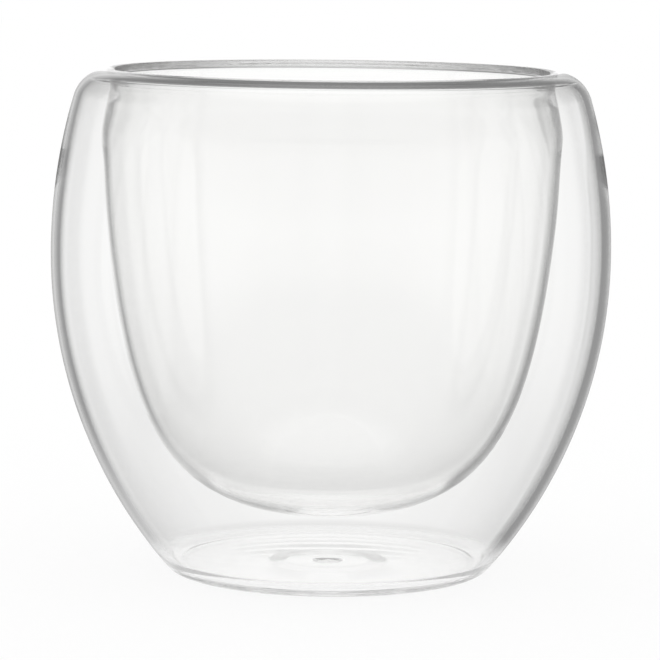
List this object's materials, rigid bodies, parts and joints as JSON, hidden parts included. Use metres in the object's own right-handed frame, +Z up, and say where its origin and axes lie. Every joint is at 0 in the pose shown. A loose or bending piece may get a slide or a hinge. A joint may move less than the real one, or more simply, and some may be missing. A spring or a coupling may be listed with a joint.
{
  "type": "double walled glass cup",
  "caption": "Round-bellied clear glass cup with a thin drinking bowl hung inside a wider outer bowl, fused at the rim, with sealed air between the walls to keep drinks hot.",
  "frame": {"origin": "middle of the foot, on the table the cup stands on", "axes": "+Z up along the cup's axis of revolution; X and Y are level and interchangeable"},
  "size_m": [0.09, 0.09, 0.081],
  "materials": {
    "clear_glass": "smooth clear borosilicate, fire polished"
  },
  "bodies": {
    "root": {"outer_bowl": "clear_glass", "inner_bowl": "clear_glass", "rim_weld": "clear_glass", "vent_seal": "clear_glass"}
  },
  "joints": []
}
